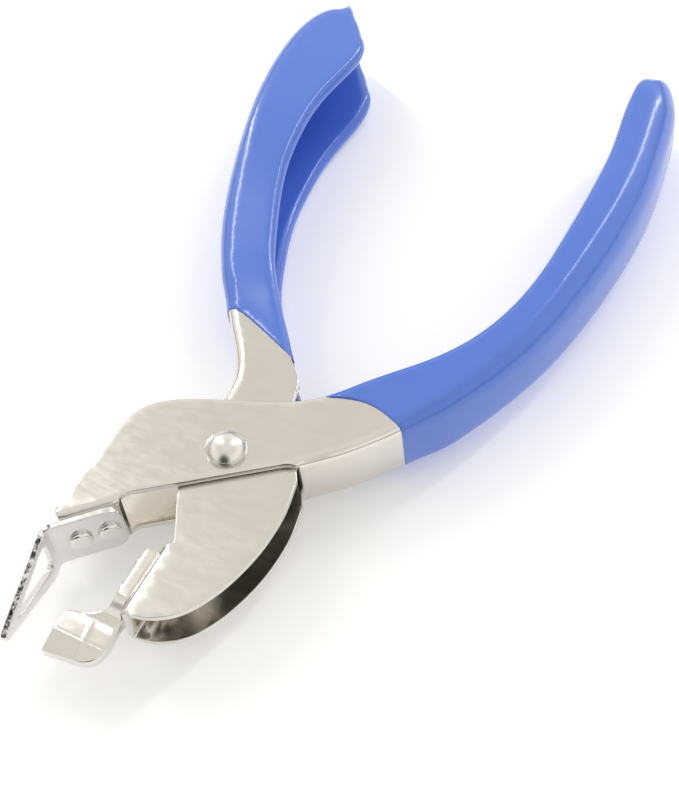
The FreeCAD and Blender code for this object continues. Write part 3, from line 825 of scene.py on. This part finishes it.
hole = join([spline([tuple(hole[i]), tuple(hole[(i + 1) % len(hole)])], 0.6) for i in range(len(hole))])[:-1]
B = Build()
slab(B, loop, lambda q: np.full(len(q), 1.1), lambda q: np.zeros(len(q)), 0.16, holes=[hole], grid=0.9, mapping=ribbon,
     mat_edge=lambda outer, q: 2 if (outer and q[1] > 0.2 and q[0] > L1 + 0.4) else 1)
B.make("jaw_window", [JAW, EDGE, ROUGH], "outer_half", ["window_jaw"])


def rivet(name, seat, out, face_out, face_in, z, body, node):
    rs, rh, hi = 1.1, 1.95, 0.8
    b = Build()
    f, g = face_out, -face_in
    prof = [(0, g - 0.7), (rh - 0.75, g - 0.7), (rh - 0.35, g - 0.55), (rh - 0.2, g - 0.3), (rh - 0.2, g), (rs, g), (rs, f),
            (rh - 0.04, f), (rh, f + 0.08), (rh, f + hi - 0.45), (rh - 0.08, f + hi - 0.24), (rh - 0.25, f + hi - 0.09),
            (rh - 0.5, f + hi - 0.02), (rh - 0.9, f + hi), (0, f + hi)]
    lathe(b, prof, (seat[0], seat[1], z), (out[0], out[1], 0), 44)
    b.make(name, [RIVET], body, [node], angle=40)


rivet("rivet_window_tip", WEB_ROOT + JD * 7.3, OUTN, 1.1, T, 0.0, "outer_half", "window_jaw_rivet_tip")
rivet("rivet_window_root", WEB_ROOT + JD * 2.5, OUTN, 1.1, T, 0.0, "outer_half", "window_jaw_rivet_root")

# ------------------------------------------------------------------ pad jaw
yw, yt = 0.9, 3.1
pl = [spline([(-19.5, yw), (-32.3, yw)], 0.7),
      spline([(-32.3, yw), (-35.3, 0.65), (-37.4, 0.8), (-38.9, 1.6), (-39.8, 3.0), (-40.2, 5.2)], 0.4),
      spline([(-40.2, 5.2), (-40.75, 9.9)], 0.6), spline([(-40.75, 9.9), (-40.5, 10.1)], 0.2), spline([(-40.5, 10.1), (-34.5, 10.28)], 0.6),
      spline([(-34.5, 10.28), (-33.6, 10.05), (-33.1, 9.1)], 0.3),
      spline([(-33.1, 9.1), (-32.4, 6.9), (-31.5, 4.9), (-30.4, 3.7), (-28.8, yt)], 0.4),
      spline([(-28.8, yt), (-20.2, yt)], 0.7), spline([(-20.2, yt), (-19.7, 2.9), (-19.5, 2.4)], 0.25), spline([(-19.5, 2.4), (-19.5, yw)], 0.5)]
loop = join(pl)[:-1]


def pad_top(q):
    x, y = q[:, 0], q[:, 1]
    z = np.interp(x, [-42.0, -36.9, -32.8, -31.3, -30.4, -29.5, -28.7, 0.0], [0.06, 0.80, 0.70, 1.1, 2.0, 3.1, 3.6, 3.6])
    # the face dishes a little towards its far corner
    k = np.clip((-33.0 - x) / 7.5, 0, 1) * np.clip((y - 1.5) / 8.5, 0, 1)
    on = np.clip((-33.0 - x) / 1.0, 0, 1)
    cross = np.exp(-((x + 36.9) / 0.3) ** 2) + np.exp(-((y - 4.65 - 0.15 * (x + 36.9)) / 0.3) ** 2)
    facet = 0.02 * np.minimum(np.abs(x + 36.9), 2.5) + 0.004 * np.minimum(np.abs(y - 4.65), 3.0)
    return z - 0.12 * k + on * (0.05 * cross - facet)


def pad_low(q):
    return np.interp(q[:, 0], [-42.0, -36.5, -33.0, -30.0, 0.0], [-1.95, -1.3, -1.2, -1.6, -1.6])


B = Build()
slab(B, loop, pad_top, pad_low, 0.22, grid=0.3)
B.make("jaw_pad", [STEEL, EDGE], "inner_half", ["pad_jaw"], angle=55, weighted=False)
rivet("rivet_pad_tip", np.array([-27.0, yw]), (0, 1), 2.2, T, 1.0, "inner_half", "pad_jaw_rivet_tip")
rivet("rivet_pad_root", np.array([-22.0, yw]), (0, 1), 2.2, T, 1.0, "inner_half", "pad_jaw_rivet_root")

# ------------------------------------------------------------ return spring
wr, cr, pitch = 0.45, 3.15, 1.0
LEG_O, LEG_I = (14.6, -20.7), (16.0, 5.3)
a0 = math.atan2(LEG_O[1], LEG_O[0]) - math.acos(cr / math.hypot(*LEG_O))
a1 = math.atan2(LEG_I[1], LEG_I[0]) + math.acos(cr / math.hypot(*LEG_I))
turns = 3.0 + ((a0 - a1) % (2 * math.pi)) / (2 * math.pi)
height = pitch * turns
slope = pitch / (2 * math.pi * cr)
l0, l1 = math.sqrt(LEG_O[0] ** 2 + LEG_O[1] ** 2 - cr ** 2), math.sqrt(LEG_I[0] ** 2 + LEG_I[1] ** 2 - cr ** 2)
path = []
for s in np.linspace(l0, 0, 12, endpoint=False):
    path.append((cr * math.cos(a0) - math.sin(a0) * s, cr * math.sin(a0) + math.cos(a0) * s, -height / 2 - slope * s))
for k in np.linspace(0, turns, int(turns * 36)):
    a = a0 - 2 * math.pi * k
    path.append((cr * math.cos(a), cr * math.sin(a), -height / 2 + pitch * k))
ae = a0 - 2 * math.pi * turns
for s in np.linspace(l1 / 12, l1, 12):
    path.append((cr * math.cos(ae) + math.sin(ae) * s, cr * math.sin(ae) - math.cos(ae) * s, height / 2 + slope * s))
path = [Vector(p) for p in path]
B = Build()
rows = []
up = Vector((0, 0, 1))
for i, p in enumerate(path):
    tn = (path[min(i + 1, len(path) - 1)] - path[max(i - 1, 0)]).normalized()
    u = (up - tn * up.dot(tn)).normalized()
    w = tn.cross(u)
    b = B.verts([p + (u * math.cos(a) + w * math.sin(a)) * wr for a in np.linspace(0, 2 * math.pi, 14, endpoint=False)])
    rows.append([b + j for j in range(14)])
for r0, r2 in zip(rows, rows[1:]):
    for j in range(14):
        B.face((r0[j], r2[j], r2[(j + 1) % 14], r0[(j + 1) % 14]))
B.face(rows[0])
B.face(rows[-1][::-1])
sp = B.make("spring_return", [WIRE], None, ["return_spring"], weighted=False)
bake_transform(sp)

# ------------------------------------------------------------ floor, lights
me = bpy.data.meshes.new("floor")
me.from_pydata([(-3, -3, -0.0004), (3, -3, -0.0004), (3, 3, -0.0004), (-3, 3, -0.0004)], [], [(0, 1, 2, 3)])
floor = bpy.data.objects.new("floor", me)
bpy.context.scene.collection.objects.link(floor)
fm, nt, bs, co = nodes_of("floor_white")
bs.inputs["Base Color"].default_value = (0.93, 0.93, 0.93, 1)
bs.inputs["Roughness"].default_value = 0.9
bs.inputs["Emission Color"].default_value = (1, 1, 1, 1)
bs.inputs["Emission Strength"].default_value = 0.20
bs.inputs["Specular IOR Level"].default_value = 0.0
me.materials.append(fm)

# camera frame: 1900 px focal length on a 679 by 792 image, aimed by the
# vanishing point of the rivet's axis
f, cx, cy = 1900.0, 339.5, 396.0
d = np.array([(560 - cx) / f, (1700 - cy) / f, 1.0])
d /= np.linalg.norm(d)
Z = -d
e1 = np.cross(Z, np.array([0, 1.0, 0]))
e1 /= np.linalg.norm(e1)
if e1[0] < 0:
    e1 = -e1
e2 = np.cross(Z, e1)
th = math.radians(65.0)
ex = e1 * math.cos(th) + e2 * math.sin(th)
ey = -e1 * math.sin(th) + e2 * math.cos(th)
R = np.array([ex, ey, Z])
P = np.array([(225.9 - cx) / f, (446 - cy) / f, 1.0]) * (f / 6.35)
Oc = P - Z * 6.8
cam_pos = np.array([-(R[i] @ Oc) for i in range(3)])
right, up_, back = R[:, 0], -R[:, 1], -R[:, 2]
cd = bpy.data.cameras.new("camera")
cd.sensor_width = 36.0
cd.sensor_fit = "AUTO"
cd.lens = f / 792.0 * 36.0
cd.clip_start = 0.01
cd.clip_end = 20.0
cam = bpy.data.objects.new("camera", cd)
bpy.context.scene.collection.objects.link(cam)
cp = place([cam_pos])[0]
cam.matrix_world = Matrix(((right[0], up_[0], back[0], cp[0]), (right[1], up_[1], back[1], cp[1]),
                           (right[2], up_[2], back[2], cp[2]), (0, 0, 0, 1)))
bpy.context.scene.camera = cam

centre = Vector((0.0, 0.0, 0.009))


def lamp(name, pos, size, power, colour=(1, 1, 1), size_y=None):
    ld = bpy.data.lights.new(name, "AREA")
    ld.shape = "RECTANGLE"
    ld.size = size
    ld.size_y = size_y or size
    ld.energy = power
    ld.color = colour
    o = bpy.data.objects.new(name, ld)
    bpy.context.scene.collection.objects.link(o)
    o.location = pos
    o.rotation_euler = (centre - Vector(pos)).to_track_quat("-Z", "Y").to_euler()
    return o


RV, UV_, BV = Vector(right), Vector(up_), Vector(back)


def rel(a, b, c):
    """A point by camera directions: right, up and towards the camera, in metres."""
    return tuple(centre + RV * a + UV_ * b + BV * c)


lamp("left_strip", rel(-0.60, 0.93, 0.14), 0.06, 2.6, (1.0, 0.99, 0.98), 0.9)
lamp("right_strip", rel(0.60, 0.90, 0.29), 0.06, 2.2, (1.0, 1.0, 1.0), 0.9)

world = bpy.data.worlds.new("studio")
bpy.context.scene.world = world
world.use_nodes = True
wt = world.node_tree
wt.nodes.clear()
wo = wt.nodes.new("ShaderNodeOutputWorld")
bg = wt.nodes.new("ShaderNodeBackground")
tc = wt.nodes.new("ShaderNodeTexCoord")
sx = wt.nodes.new("ShaderNodeSeparateXYZ")
wt.links.new(tc.outputs["Generated"], sx.inputs[0])
mr = wt.nodes.new("ShaderNodeMapRange")
mr.inputs["From Min"].default_value = -0.1
mr.inputs["From Max"].default_value = 1.0
wt.links.new(sx.outputs["Z"], mr.inputs[0])
rp = wt.nodes.new("ShaderNodeValToRGB")
el = rp.color_ramp.elements
stops = [(0.0, (0.10, 0.085, 0.075)), (0.16, (0.30, 0.27, 0.25)), (0.36, (1.0, 0.99, 0.98)), (0.62, (0.98, 0.96, 0.93)), (0.84, (0.76, 0.73, 0.68)), (1.0, (0.85, 0.84, 0.82))]
while len(el) < len(stops):
    el.new(0.5)
for q, (p, c) in zip(el, stops):
    q.position = p
    q.color = (c[0], c[1], c[2], 1)
wt.links.new(mr.outputs[0], rp.inputs[0])
# the studio is darker round one direction, where the photographer would stand
vm = wt.nodes.new("ShaderNodeVectorMath")
vm.operation = "DOT_PRODUCT"
wt.links.new(tc.outputs["Generated"], vm.inputs[0])
dark = (RV * -0.25 + UV_ * -0.46 + BV * 0.85).normalized()
vm.inputs[1].default_value = (dark[0], dark[1], dark[2])
lobe = wt.nodes.new("ShaderNodeMapRange")
lobe.interpolation_type = "SMOOTHSTEP"
lobe.inputs["From Min"].default_value = 0.86
lobe.inputs["From Max"].default_value = 0.965
wt.links.new(vm.outputs["Value"], lobe.inputs[0])
mx = wt.nodes.new("ShaderNodeMix")
mx.data_type = "RGBA"
wt.links.new(lobe.outputs[0], mx.inputs["Factor"])
colour_a, colour_b = [i for i in mx.inputs if i.name == "A" and i.type == "RGBA"][0], [i for i in mx.inputs if i.name == "B" and i.type == "RGBA"][0]
colour_b.default_value = (0.02, 0.018, 0.016, 1)
wt.links.new(rp.outputs[0], colour_a)
wt.links.new([o for o in mx.outputs if o.type == "RGBA"][0], bg.inputs[0])
bg.inputs[1].default_value = 1.06
wt.links.new(bg.outputs[0], wo.inputs[0])

bpy.context.scene.view_settings.view_transform = "Standard"
